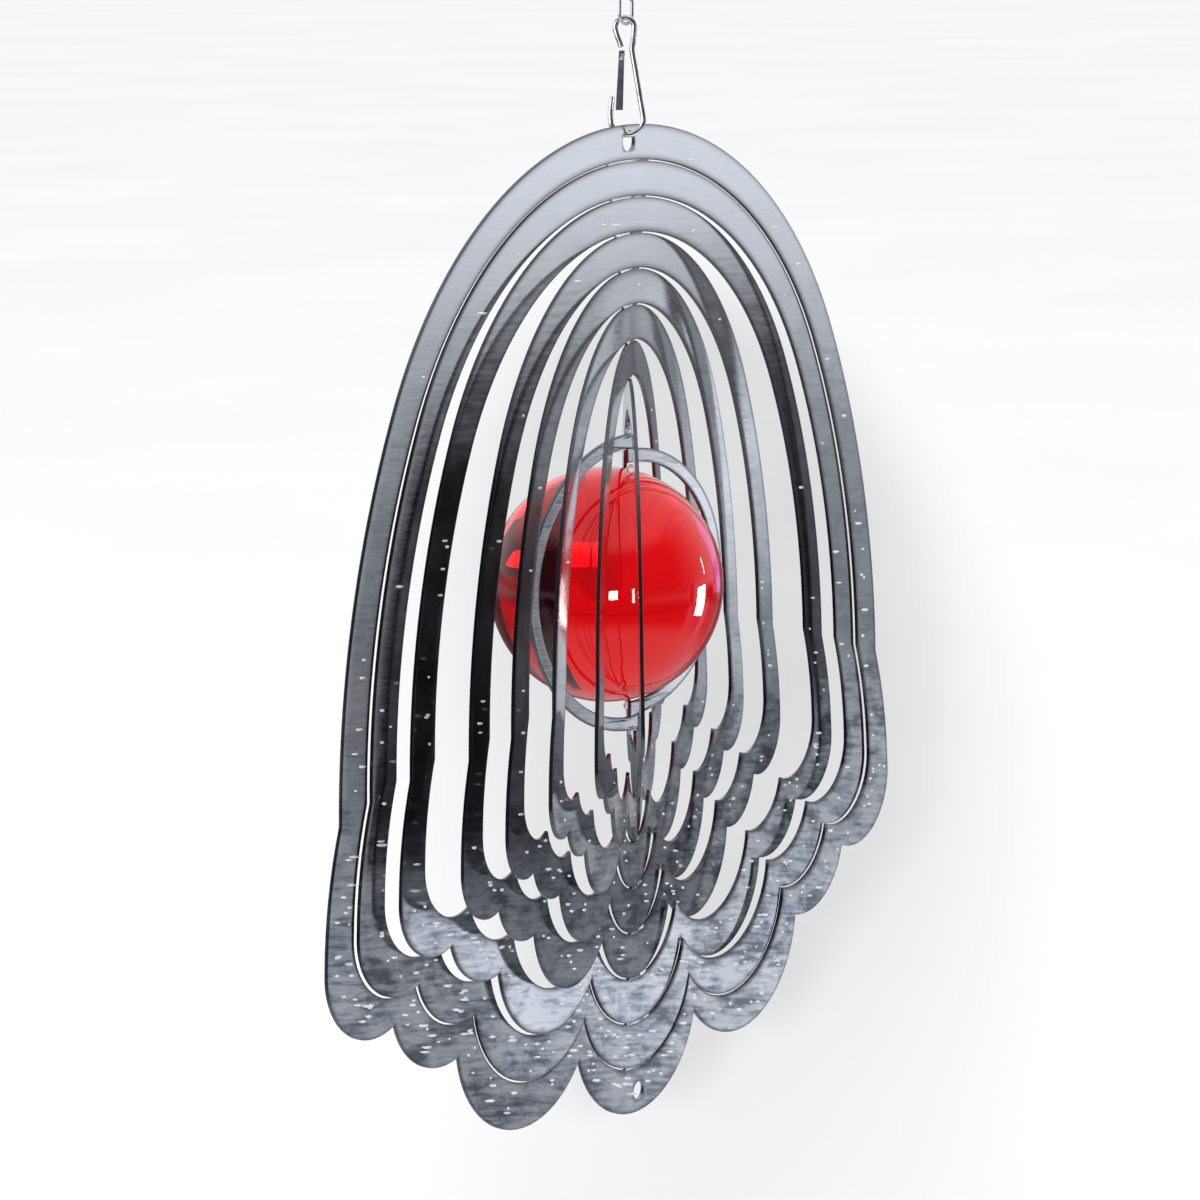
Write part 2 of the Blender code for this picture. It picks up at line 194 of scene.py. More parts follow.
def sheet_steel(name, yaw, tint, near=0.0, far=0.0, seed=0.0, warm=0.0):
    """Polished rolled sheet: fanned streaks, painted reflection in patches low down, painted shade along
    the cut edges.

    tint is the metal's brightness and warm its lean to yellow. near and far say how much painted shade
    darkens the middle of the leg before and behind the axis. seed shifts the pattern.
    """
    mat, t, shader = new_material(name)
    coords = t.add("ShaderNodeTexCoord").outputs["Object"]
    flat = t.stretch(coords, turn=-math.radians(yaw))
    parts = t.add("ShaderNodeSeparateXYZ")
    t.put(parts, 0, flat)
    along, height = parts.outputs[0], parts.outputs[2]
    fan = t.math("ADD", height, t.math("MULTIPLY", t.math("SUBTRACT", FAN_Z, height), along))
    joined = t.add("ShaderNodeCombineXYZ")
    t.put(joined, 0, t.math("ADD", along, seed * 0.37))
    t.put(joined, 2, t.math("ADD", fan, seed * 0.61))
    local = joined.outputs[0]
    streak = t.noise(t.stretch(local, (210, 210, 2300)), 1.0, 3.0, 0.6)
    dashes = t.noise(t.stretch(local, (95, 95, 900)), 1.0, 2.0, 0.5)
    blotch = t.noise(t.stretch(local, (55, 55, 105)), 1.0, 6.0, 0.72, 0.3)
    patch_noise = t.noise(t.stretch(local, (22, 22, 30)), 1.0, 4.0, 0.6)
    edge_shade = t.add("ShaderNodeAttribute", attribute_name="edge_shade").outputs["Fac"]
    jagged = t.math("ADD", height, t.math("MULTIPLY", t.math("SUBTRACT", dashes, 0.5), 0.03))
    low = t.span(jagged, -0.150, -0.190)
    # painted reflection: dark, bluish and bright patches, strongest on the lower lobes, weaker mid-height
    # and faint elsewhere
    light = t.ramp(
        t.math("ADD", t.math("MULTIPLY", blotch, 0.7), t.math("MULTIPLY", dashes, 0.3)),
        [(0.41, grey(tint * 0.36, 0.15)), (0.46, grey(tint * 0.66, 0.17)), (0.50, grey(tint * 0.94, 0.10)),
         (0.56, grey(min(1.0, tint * 1.25), 0.04 - warm))],
    )
    plain = t.ramp(streak, [(0.3, grey(tint * 0.93, 0.02)),
                            (0.7, grey(min(1.0, tint * 1.06), 0.02 - warm))])
    painted_reflection_mask = t.math("ADD", t.math("MULTIPLY", t.span(jagged, -0.065, -0.11), 0.22),
                     t.math("MULTIPLY", low, 0.74))
    base = t.mix(t.math("ADD", painted_reflection_mask, 0.04), plain, light)
    # painted shade: the middle height of each leg is darkened toward brown-black, by near before the axis
    # and far behind it
    middle = t.math("MULTIPLY", t.span(jagged, -0.190, -0.168), t.span(jagged, -0.062, -0.108))
    side = t.math("ADD", t.math("MULTIPLY", t.span(along, -0.004, -0.022), near),
                  t.math("MULTIPLY", t.span(along, 0.004, 0.022), far))
    painted_leg_shade = t.math("MULTIPLY", t.math("MULTIPLY", middle, side), t.span(patch_noise, 0.36, 0.5, 0.75, 1.0))
    base = t.mix(painted_leg_shade, base, (0.043, 0.037, 0.034, 1.0))
    # painted shade: the colour is darkened toward blue-black along the cuts, by the strength stored on
    # each vertex
    edge = t.math("POWER", edge_shade, 1.3)
    base = t.mix(t.math("MULTIPLY", edge, 0.85), base, (0.035, 0.037, 0.05, 1.0))
    t.put(shader, "Base Color", base)
    t.put(shader, "Metallic", 1.0)
    rough = t.span(t.math("ADD", t.math("MULTIPLY", streak, 0.6), t.math("MULTIPLY", patch_noise, 0.4)),
                   0.35, 0.7, 0.06, 0.17, False)
    t.put(shader, "Roughness", t.math("ADD", rough, t.math("MULTIPLY", edge, 0.16)))
    t.bump(shader, 0.9, 0.0000018, t.math("ADD", streak, t.math("MULTIPLY", dashes, 1.6)))
    return mat


def wire_steel(name, tint, rough, scale=1.0, blue=0.0):
    """Bright plated wire with drawing marks and a few worn spots."""
    mat, t, shader = new_material(name)
    coords = t.add("ShaderNodeTexCoord").outputs["Object"]
    fine = t.noise(coords, 2600 * scale, 3.0, 0.6)
    worn = t.noise(coords, 420 * scale, 4.0, 0.65)
    base = t.ramp(worn, [(0.34, grey(tint * 0.55, 0.06)), (0.47, grey(tint * 0.92, blue)),
                         (0.64, grey(min(1.0, tint * 1.1), blue))])
    t.put(shader, "Base Color", base)
    t.put(shader, "Metallic", 1.0)
    marks = t.math("ADD", t.math("MULTIPLY", fine, 0.4), t.math("MULTIPLY", worn, 0.6))
    t.put(shader, "Roughness", t.span(marks, 0.35, 0.65, rough * 0.6, rough * 1.7, False))
    t.bump(shader, 0.5, 0.00002, fine)
    return mat


def red_glass():
    """Clear red glass with a faint swirl."""
    mat, t, shader = new_material("look_red_glass")
    coords = t.add("ShaderNodeTexCoord").outputs["Object"]
    swirl = t.noise(coords, 55.0, 3.0, 0.5, 1.2)
    t.put(shader, "Base Color", t.ramp(swirl, [(0.3, (0.68, 0.0010, 0.003)), (0.7, (0.76, 0.003, 0.005))]))
    t.put(shader, "Transmission Weight", 1.0)
    t.put(shader, "IOR", 1.5)
    t.put(shader, "Roughness", t.span(t.noise(coords, 300.0, 4.0, 0.6), 0.3, 0.7, 0.0, 0.02, False))
    t.bump(shader, 0.35, 0.00008, swirl)
    return mat


def water():
    """Rain water with a whitish, partly opaque base: painted highlight in place of the drops' glints."""
    mat, t, shader = new_material("look_water")
    coords = t.add("ShaderNodeTexCoord").outputs["Object"]
    cloud = t.noise(coords, 900.0, 2.0)
    # painted highlight: a whitish base colour stands in for the glints on the drops
    t.put(shader, "Base Color", t.ramp(cloud, [(0.3, (0.93, 0.95, 0.97)), (0.7, (1, 1, 1))]))
    t.put(shader, "Transmission Weight", 0.7)
    t.put(shader, "IOR", 1.34)
    t.put(shader, "Roughness", 0.02)
    return mat


def cement():
    """Clear cement with a milky cloud."""
    mat, t, shader = new_material("look_cement")
    coords = t.add("ShaderNodeTexCoord").outputs["Object"]
    cloud = t.noise(coords, 1500.0, 4.0, 0.6)
    t.put(shader, "Base Color", t.ramp(cloud, [(0.3, (0.80, 0.77, 0.72)), (0.7, (0.95, 0.94, 0.92))]))
    t.put(shader, "Transmission Weight", 0.75)
    t.put(shader, "IOR", 1.48)
    t.put(shader, "Roughness", t.span(cloud, 0.3, 0.7, 0.08, 0.3, False))
    t.bump(shader, 0.5, 0.00005, cloud)
    return mat


# ------------------------------------------------------------------ mesh helpers


def keep(name, bm, mat):
    """Object in the scene made from bm, with one material."""
    mesh = bpy.data.meshes.new(name)
    bm.to_mesh(mesh)
    bm.free()
    mesh.materials.append(mat)
    piece = bpy.data.objects.new(name, mesh)
    bpy.context.scene.collection.objects.link(piece)
    return piece


def welded(node):
    """The CAD node's mesh as one closed bmesh."""
    bm = bmesh.new()
    bm.from_mesh(nodes[node].data)
    bmesh.ops.remove_doubles(bm, verts=bm.verts, dist=0.000002)
    bmesh.ops.dissolve_degenerate(bm, dist=0.0000005, edges=bm.edges)
    bmesh.ops.recalc_face_normals(bm, faces=bm.faces)
    return bm


def sheet_look(node, name, yaw, mat, round_off, insets):
    """The sheet piece with eased corners and bands of painted shade along every cut."""
    bm = welded(node)
    a = math.radians(yaw)
    out = Vector((math.sin(a), -math.cos(a), 0.0))
    bm.normal_update()
    corners = []
    for edge in bm.edges:
        if len(edge.link_faces) == 2:
            sides = [abs(f.normal.dot(out)) > 0.9 for f in edge.link_faces]
            if sides[0] != sides[1]:
                corners.append(edge)
    bmesh.ops.bevel(bm, geom=corners, offset=round_off, offset_type="OFFSET", segments=2, profile=0.5,
                    affect="EDGES", clamp_overlap=True)
    bm.normal_update()
    # per-vertex strength of the painted shade along the cuts: full at the cut, less on each inset band
    edge_shade = bm.verts.layers.float.new("edge_shade")
    for v in bm.verts:
        v[edge_shade] = 1.0
    for side in (1.0, -1.0):
        flat = [f for f in bm.faces if f.normal.dot(out) * side > 0.985 and f.calc_area() > 1e-12]
        for thickness, value in insets:
            bmesh.ops.inset_region(bm, faces=flat, thickness=thickness, depth=0.0,
                                   use_boundary=True, use_even_offset=False)
            for v in set(v for f in flat for v in f.verts):
                v[edge_shade] = value
    piece = keep(name, bm, mat)
    piece.data.shade_smooth()
    soften = piece.modifiers.new("soften", "WEIGHTED_NORMAL")
    soften.weight = 60
    return piece


def refined(node, name, mat, width, angle=35.0):
    """A small CAD piece with eased edges and smooth round faces."""
    bm = welded(node)
    piece = keep(name, bm, mat)
    piece.data.shade_smooth()
    ease = piece.modifiers.new("ease", "BEVEL")
    ease.width = width
    ease.segments = 2
    ease.limit_method = "ANGLE"
    ease.angle_limit = math.radians(angle)
    soften = piece.modifiers.new("soften", "WEIGHTED_NORMAL")
    soften.weight = 60
    return piece


def smooth_line(points, steps):
    """Catmull-Rom line through points."""
    line = []
    for i in range(len(points) - 1):
        p0 = points[max(i - 1, 0)]
        p1 = points[i]
        p2 = points[i + 1]
        p3 = points[min(i + 2, len(points) - 1)]
        for s in range(steps):
            u = s / steps
            line.append(0.5 * ((2 * p1) + (p2 - p0) * u + (2 * p0 - 5 * p1 + 4 * p2 - p3) * u * u
                               + (3 * p1 - p0 - 3 * p2 + p3) * u * u * u))
    line.append(points[-1])
    return line


def sweep(name, points, radius, mat, sides=18, steps=5):
    """Round wire along points, with domed ends."""
    line = smooth_line(points, steps)
    bm = bmesh.new()
    rows = []
    side = None
    count = len(line)
    plan = []
    first = (line[1] - line[0]).normalized()
    last = (line[-1] - line[-2]).normalized()
    for a in (10, 35, 65):
        plan.append((line[0] - first * radius * 0.5 * math.cos(math.radians(a)) + first * radius * 0.5,
                     radius * math.sin(math.radians(a)), first))
    for i in range(1, count - 1):
        plan.append((line[i], radius, (line[i + 1] - line[i - 1]).normalized()))
    for a in (65, 35, 10):
        plan.append((line[-1] + last * radius * 0.5 * math.cos(math.radians(a)) - last * radius * 0.5,
                     radius * math.sin(math.radians(a)), last))
    for place, r, ahead in plan:
        if side is None:
            side = ahead.orthogonal().normalized()
        side = (side - ahead * side.dot(ahead)).normalized()
        other = ahead.cross(side)
        row = []
        for j in range(sides):
            a = 2 * math.pi * j / sides
            row.append(bm.verts.new(place + (side * math.cos(a) + other * math.sin(a)) * r))
        rows.append(row)
    for low, high in zip(rows, rows[1:]):
        for j in range(sides):
            k = (j + 1) % sides
            bm.faces.new((low[j], low[k], high[k], high[j]))
    bm.faces.new(rows[0][::-1])
    bm.faces.new(rows[-1])
    bmesh.ops.recalc_face_normals(bm, faces=bm.faces)
    piece = keep(name, bm, mat)
    piece.data.shade_smooth()
    return piece


def arc(cx, cz, radius, start, end, steps):
    """(x, z) points along an arc, without its first point; angles in degrees."""
    points = []
    for i in range(1, steps + 1):
        a = math.radians(start + (end - start) * i / steps)
        points.append((cx + radius * math.cos(a), cz + radius * math.sin(a)))
    return points


def place(points, yaw, base_z):
    """(x, z) points in mm, turned by yaw about the axis and lifted to base_z (metres)."""
    a = math.radians(yaw)
    return [Vector((x * MM * math.cos(a), x * MM * math.sin(a), z * MM + base_z)) for x, z in points]


def smoothstep(t):
    t = min(1.0, max(0.0, t))
    return t * t * (3 - 2 * t)


# ------------------------------------------------------------------ rings

# outline of the sheet, as shares of CROWN_R: half widths and heights of its corners
CROWN_END = 27.0
FLANK_FOOT = (1.111, -0.411)
SIDE_LOBE_MID = (1.172, -0.715)
SIDE_LOBE_FOOT = (0.942, -0.887)
SMALL_LOBE_FOOT = (0.714, -1.019)
LOWER_LOBE_FOOT = (0.245, -1.149)


def bow(start, end, rise, steps):
    """Circular arc from start to end that bows outwards by rise on a clockwise outline."""
    sx, sz = start
    ex, ez = end
    chord = math.hypot(ex - sx, ez - sz)
    dx, dz = (ex - sx) / chord, (ez - sz) / chord
    nx, nz = -dz, dx
    radius = (chord * chord / 4 + rise * rise) / (2 * rise)
    cx = (sx + ex) / 2 + nx * (rise - radius)
    cz = (sz + ez) / 2 + nz * (rise - radius)
    half = math.asin(min(1.0, chord / 2 / radius))
    if rise > radius:
        half = math.pi - half
    points = []
    for i in range(1, steps + 1):
        a = -half + 2 * half * i / steps
        points.append((cx + radius * (math.sin(a) * dx + math.cos(a) * nx),
                       cz + radius * (math.sin(a) * dz + math.cos(a) * nz)))
    return points


def sheet_outline():
    """Closed outline, clockwise from the crown, and the places of its corners."""
    end = math.radians(CROWN_END)
    right = [(0.0, 1.0)]
    for i in range(1, 37):
        a = math.pi / 2 + (end - math.pi / 2) * i / 36
        right.append((math.cos(a), math.sin(a)))
    sx, sz = right[-1]
    fx, fz = FLANK_FOOT
    chord = math.hypot(fx - sx, fz - sz)
    lean = math.atan2(fx - sx, sz - fz)
    right += bow((sx, sz), FLANK_FOOT, chord / 2 * math.tan((end - lean) / 2), 22)
    corners = [len(right) - 1]
    right += bow(FLANK_FOOT, SIDE_LOBE_MID, 0.012, 8)
    corners.append(len(right) - 1)
    right += bow(SIDE_LOBE_MID, SIDE_LOBE_FOOT, 0.082, 18)
    corners.append(len(right) - 1)
    right += bow(SIDE_LOBE_FOOT, SMALL_LOBE_FOOT, 0.055, 14)
    corners.append(len(right) - 1)
    right += bow(SMALL_LOBE_FOOT, LOWER_LOBE_FOOT, 0.163, 24)
    corners.append(len(right) - 1)
    lx, lz = LOWER_LOBE_FOOT
    right += bow(LOWER_LOBE_FOOT, (-lx, lz), CENTRE_LOBE_LOW + lz, 24)[:12]
    left = [(-x, z) for x, z in reversed(right[:-1]) if x > 1e-9]
    total = len(right) + len(left)
    corners += [total - c for c in corners]
    return right + left, set(corners)


OUTLINE, CORNERS = sheet_outline()

# cross-section of a strip from a cut inwards: mm in from the cut, mm from the sheet's middle plane,
# and how strongly the painted shade along the cut shows there
SECTION = ((0.0, 0.28, 1.0), (0.035, 0.355, 1.0), (0.11, 0.386, 0.95), (0.22, 0.389, 0.7),
           (0.55, 0.395, 0.42), (1.05, 0.4, 0.16), (1.7, 0.4, 0.0))


def strip(name, outer, inner, yaw, mat):
    """One ring: the strip between two scaled copies of the outline, with eased, slightly rolled cuts."""
    a = math.radians(yaw)
    along = Vector((math.cos(a), math.sin(a), 0.0))
    out = Vector((math.sin(a), -math.cos(a), 0.0))
    bm = bmesh.new()
    # per-vertex strength of the painted shade along the cuts
    edge_shade = bm.verts.layers.float.new("edge_shade")
    loops = []
    for share, inward, order in ((outer, 1.0, SECTION), (inner, -1.0, SECTION[::-1])):
        loops.append([(share, inward, s) for s in order])
    front = loops[0] + loops[1]
    plan = [(share, inward, off, side, value) for share, inward, (off, side, value) in front]
    plan += [(share, inward, off, -side, value) for share, inward, off, side, value in reversed(plan)]
    rows = []
    for x, z in OUTLINE:
        size = math.hypot(x, z)
        row = []
        for share, inward, off, side, value in plan:
            r = share * CROWN_R - inward * off * MM / size
            v = bm.verts.new(along * (x * r) + out * (side * MM) + Vector((0.0, 0.0, CENTRE_Z + z * r)))
            v[edge_shade] = value
            row.append(v)
        rows.append(row)
    count = len(plan)
    for i, low in enumerate(rows):
        high = rows[(i + 1) % len(rows)]
        for j in range(count):
            k = (j + 1) % count
            bm.faces.new((low[j], low[k], high[k], high[j]))
    for i in CORNERS:
        for j in (count - 1, count // 2 - 1):
            edge = bm.edges.get((rows[i % len(rows)][j], rows[i % len(rows)][(j + 1) % count]))
            edge.smooth = False
    bmesh.ops.recalc_face_normals(bm, faces=bm.faces)
    piece = keep(name, bm, mat)
    piece.data.shade_smooth()
    return piece


def pierce(piece, yaw, radius, height):
    """Round hole through the sheet, height mm above the common centre."""
    a = math.radians(yaw)
    out = Vector((math.sin(a), -math.cos(a), 0.0))
    bm = bmesh.new()
    bmesh.ops.create_cone(bm, cap_ends=True, segments=48, radius1=radius * MM, radius2=radius * MM,
                          depth=0.004)
    bm.transform(out.to_track_quat("Z", "Y").to_matrix().to_4x4())
    bmesh.ops.translate(bm, verts=bm.verts, vec=(0.0, 0.0, CENTRE_Z + height * MM))
    cutter = keep("hole_cutter", bm, piece.data.materials[0])
    cut = piece.modifiers.new("hole", "BOOLEAN")
    cut.operation = "DIFFERENCE"
    cut.solver = "EXACT"
    cut.object = cutter
    bpy.context.view_layer.update()
    graph = bpy.context.evaluated_depsgraph_get()
    made = bpy.data.meshes.new_from_object(piece.evaluated_get(graph))
    piece.modifiers.clear()
    piece.data = made
    bpy.data.objects.remove(cutter, do_unlink=True)
    # painted shade: strength 0.8 round the edge of each hole
    marks = made.attributes.get("edge_shade")
    centre = Vector((0.0, 0.0, CENTRE_Z + height * MM))
    for i, v in enumerate(made.vertices):
        away = v.co - centre
        away -= out * away.dot(out)
        if away.length < (radius + 0.02) * MM:
            marks.data[i].value = 0.8


RING_LOOKS = (
    # tint, painted shade on the near leg, painted shade on the far leg, warmth
    (0.80, 0.05, 0.00, 0.010),
    (0.80, 0.25, 0.00, 0.008),
    (0.78, 0.86, 0.80, 0.004),
    (0.78, 0.90, 0.00, 0.0),
    (0.74, 0.78, 0.00, -0.01),
    (0.76, 0.05, 0.00, 0.0),
    (0.74, 0.05, 0.00, 0.0),
    (0.72, 0.00, 0.00, 0.0),
)


def outer_share(k):
    """Outer edge of ring k, as a share of CROWN_R."""
    return 1.0 - PITCH * (k - 1) - (KERF / 2 if k > 1 else 0.0)


def inner_share(k):
    """Inner edge of ring k, as a share of CROWN_R."""
    return 1.0 - PITCH * k + KERF / 2


rings = {}
for k in range(1, 9):
    tint, near, far, warm = RING_LOOKS[k - 1]
    mat = sheet_steel("look_ring_%d" % k, YAWS[k - 1], tint, near, far, k * 0.83, warm)
    piece = strip("ring_sheet_%d" % k, outer_share(k), inner_share(k), YAWS[k - 1], mat)
    if k == 1:
        pierce(piece, YAWS[0], 2.25, 87.6)
        pierce(piece, YAWS[0], 2.0, -117.1)
    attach(piece, "ring_%d" % k)
    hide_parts("ring_%d" % k)
    rings[k] = (piece, mat)

cage_mat = sheet_steel("look_cage", CAGE_YAW, 0.93, 0.0, 0.0, 9.1, 0.004)
cage = sheet_look("ball_cage", "cage_sheet", CAGE_YAW, cage_mat, 0.00009, ((0.00035, 0.4), (0.0004, 0.0)))
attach(cage, "cage")
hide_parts("ball_cage")


def bridge(name, yaw_a, yaw_b, half, z_a, z_b, mat):
    """Short uncut neck of the sheet that twists from one ring to the next."""
    bm = bmesh.new()
    columns, rows_n = 8, 8
    thick = SHEET / 2 - 0.00003
    layers = []
    for side in (-1.0, 1.0):
        grid = []
        for r in range(rows_n + 1):
            t = r / rows_n
            a = math.radians(yaw_a + (yaw_b - yaw_a) * smoothstep((t - 0.2) / 0.6))
            row = []
            for c in range(columns + 1):
                u = half * (2 * c / columns - 1)
                x = u * math.cos(a) - side * thick * math.sin(a)
                y = u * math.sin(a) + side * thick * math.cos(a)
                row.append(bm.verts.new((x, y, z_a + (z_b - z_a) * t)))
            grid.append(row)
        layers.append(grid)
    near, away = layers
    for r in range(rows_n):
        for c in range(columns):
            bm.faces.new((near[r][c], near[r][c + 1], near[r + 1][c + 1], near[r + 1][c]))
            bm.faces.new((away[r][c], away[r + 1][c], away[r + 1][c + 1], away[r][c + 1]))
        for c in (0, columns):
            bm.faces.new((near[r][c], near[r + 1][c], away[r + 1][c], away[r][c]))
    for r in (0, rows_n):
        for c in range(columns):
            bm.faces.new((near[r][c], near[r][c + 1], away[r][c + 1], away[r][c]))
    bmesh.ops.recalc_face_normals(bm, faces=bm.faces)
    piece = keep(name, bm, mat)
    piece.data.shade_smooth()
    piece.data.set_sharp_from_angle(angle=math.radians(40))
    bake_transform(piece)
    return piece


for k in range(1, 8):
    for tag, half, depth, ahead in (("top", BRIDGE_TOP_HALF[k - 1], 1.0, -1.0),
                                    ("low", BRIDGE_LOW_HALF[k - 1], -CENTRE_LOBE_LOW, 1.0)):
        z_a = CENTRE_Z + inner_share(k) * CROWN_R * depth
        z_b = CENTRE_Z + outer_share(k + 1) * CROWN_R * depth
        crown = outer_share(k + 1)
        sag = crown * (1 - math.sqrt(1 - (half / (crown * CROWN_MM)) ** 2)) * CROWN_MM
        lap = 0.35 + (sag if tag == "top" else 0.45)
        bridge("neck_%s_%d" % (tag, k), YAWS[k - 1], YAWS[k], (half - 0.02) * MM,
               z_a - ahead * 0.0003, z_b + ahead * lap * MM, rings[k][1])

inside = inner_share(8) * CROWN_R
for tag, depth, tip, ahead in (("top", 1.0, CAGE_MID + CAGE_HALF, -1.0),
                               ("low", -CENTRE_LOBE_LOW, CAGE_MID - CAGE_HALF, 1.0)):
    z_a = CENTRE_Z + inside * depth - ahead * 0.0004
    z_b = CENTRE_Z + tip * MM + ahead * 0.0005
    bridge("stem_%s" % tag, YAWS[7], CAGE_YAW, 1.2 * MM, z_a, z_b, rings[8][1])

# ------------------------------------------------------------------ ball

low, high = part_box("glass_ball")
ball_at = (low + high) / 2
bm = bmesh.new()
bmesh.ops.create_uvsphere(bm, u_segments=160, v_segments=96, radius=BALL_R)
bmesh.ops.translate(bm, verts=bm.verts, vec=ball_at)
ball = keep("red_ball", bm, red_glass())
ball.data.shade_smooth()
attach(ball, "cage")
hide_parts("glass_ball")

cement_mat = cement()
for node in ("cement_top", "cement_low"):
    bead_low, bead_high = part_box(node)
    middle = (bead_low + bead_high) / 2
    size = (bead_high - bead_low) / 2
    bm = bmesh.new()
    bmesh.ops.create_icosphere(bm, subdivisions=4, radius=1.0)
    for v in bm.verts:
        n = v.co.copy()
        lump = 1.0 - 0.05 * (1 + math.sin(9 * n.x + 3 * n.z) * math.cos(7 * n.y))
        v.co = Vector((n.x * size.x, n.y * size.y, n.z * size.z)) * lump + middle
    bead = keep(node + "_bead", bm, cement_mat)
    bead.data.shade_smooth()
    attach(bead, "cage")
    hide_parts(node)

# ------------------------------------------------------------------ snap hook and swivel

hook_mat = wire_steel("look_hook", 0.92, 0.10, 1.0, 0.02)
gate_mat = wire_steel("look_gate", 0.96, 0.16, 0.7)
swivel_mat = wire_steel("look_swivel", 0.78, 0.18, 1.0)

LOW_R = 3.4                    # bottom loop of the hook, in mm above the common centre
LOW_Z = 88.9 + LOW_R
WAIST = 106.4
path = [(-3.0, 97.0), (-3.2, 95.2), (-LOW_R, LOW_Z + 1.2)]
path += arc(0.0, LOW_Z, LOW_R, 180.0, 360.0, 10)
for i in range(1, 5):
    path.append((LOW_R + (1.2 - LOW_R) * i / 4, LOW_Z + (WAIST - LOW_Z) * i / 4))
path.append((1.4, WAIST + 1.6))
path += arc(-0.25, 111.0, 1.95, -22.0, 202.0, 12)
path += [(-1.75, 109.1), (-1.3, 107.9), (-0.98, WAIST + 0.4)]
hook = sweep("hook_wire", place(path, 0.0, CENTRE_Z), 0.0006, hook_mat, 20, 5)
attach(hook, "hook")
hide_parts("snap_hook")

for node, name, body, mat, slot, width in (
    ("hook_gate", "gate_channel", "gate", gate_mat, "gate_steel", 0.00008),
    ("hook_tang", "tang_plate", "hook", hook_mat, "hook_steel", 0.00006),
    ("gate_pin", "pin_rivet", "hook", hook_mat, "hook_steel", 0.00005),
    ("swivel_barrel", "barrel_shell", "barrel", swivel_mat, "swivel_steel", 0.0001),
    ("swivel_lower_head", "lower_head", "lower_eye", swivel_mat, "swivel_steel", 0.00006),
    ("swivel_upper_head", "upper_head", "upper_eye", swivel_mat, "swivel_steel", 0.00006),
):
    piece = refined(node, name, mat, width)
    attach(piece, body)
    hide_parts(node)

EYE_HALF = 2.3
EYE_FAR = 2 * EYE_HALF + 3.1 - 0.5
BARREL_LOW = 111.65 + EYE_FAR
for node, name, body, up, yaw, lift in (
    ("swivel_lower_eye", "lower_eye_wire", "lower_eye", -1, 56.0, BARREL_LOW),
    ("swivel_upper_eye", "upper_eye_wire", "upper_eye", 1, 146.0, BARREL_LOW + 6.4),
):
    points = [(0.0, 1.3), (0.0, 0.1), (0.3, -0.5), (0.95, -0.95)]
    points += arc(0.0, -EYE_HALF - 0.75, EYE_HALF, 44.0, 0.0, 3)
    points += arc(0.0, -EYE_FAR + EYE_HALF, EYE_HALF, 0.0, -180.0, 14)
    points += arc(0.0, -EYE_HALF - 0.75, EYE_HALF, 180.0, 116.0, 4)
    points = [(x, -up * z) for x, z in points]
    piece = sweep(name, place(points, yaw, CENTRE_Z + lift * MM), 0.000375, swivel_mat, 16, 4)
    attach(piece, body)
    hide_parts(node)

# ------------------------------------------------------------------ rain drops

water_mat = water()


def drops(k, count, seed):
    """Small flattened drops of rain on both faces of a ring, drawn out along the scratches."""
    rng = random.Random(seed)
    sheet = rings[k][0]
    a = math.radians(YAWS[k - 1])
    out = Vector((math.sin(a), -math.cos(a), 0.0))
    level = Vector((math.cos(a), math.sin(a), 0.0))
    edge_shade = sheet.data.attributes["edge_shade"].data
    spots = []
    for poly in sheet.data.polygons:
        if abs(poly.normal.dot(out)) > 0.99 and max(edge_shade[i].value for i in poly.vertices) < 0.1:
            corners = [sheet.data.vertices[i].co for i in poly.vertices[:3]]
            spots.append((poly.area, corners, poly.normal.dot(out) > 0))
    total = sum(s[0] for s in spots)
    bm = bmesh.new()
    made = 0
    while made < count:
        pick = rng.random() * total
        for area, corners, front in spots:
            pick -= area
            if pick <= 0:
                break
        b, c = rng.random(), rng.random()
        if b + c > 1:
            b, c = 1 - b, 1 - c
        spot = corners[0] + (corners[1] - corners[0]) * b + (corners[2] - corners[0]) * c
        lowness = smoothstep((CENTRE_Z + 0.02 - spot.z) / 0.11)
        if rng.random() > 0.12 + 0.88 * lowness:
            continue
        wide = rng.uniform(0.0004, 0.0013) if rng.random() < 0.8 else rng.uniform(0.0012, 0.0019)
        tall = min(wide, rng.uniform(0.00022, 0.00034))
        thick = tall * 0.75
        lean = math.sin(a) * (FAN_Z - spot.z) / FAN_REACH
        side = 1.0 if front else -1.0
        base = spot - out * (spot.dot(out)) + out * side * (SHEET / 2)
        new = bmesh.ops.create_icosphere(bm, subdivisions=2, radius=1.0)["verts"]
        for v in new:
            n = v.co.copy()
            sag = -0.25 * tall * (1 - n.x * n.x)
            v.co = base + level * (n.x * wide) + out * side * (max(n.y, -0.1) * thick)
            v.co.z += n.z * tall + sag - n.x * wide * lean
        made += 1
    for f in bm.faces:
        f.smooth = True
    piece = keep("rain_drops_%d" % k, bm, water_mat)
    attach(piece, "ring_%d" % k)


for k, count in ((1, 300), (2, 200), (3, 150), (4, 100), (5, 70), (6, 36), (7, 20)):
    drops(k, count, 400 + k)

# ------------------------------------------------------------------ stage, camera, light

scene = bpy.context.scene
bm = bmesh.new()
bmesh.ops.create_circle(bm, cap_ends=True, segments=96, radius=14.0)
floor_mat, t, shader = new_material("floor_paper")
coords = t.add("ShaderNodeTexCoord").outputs["Object"]
paper = t.ramp(t.noise(coords, 3.0, 4.0), [(0.3, (0.90, 0.90, 0.90)), (0.7, (0.93, 0.93, 0.93))])
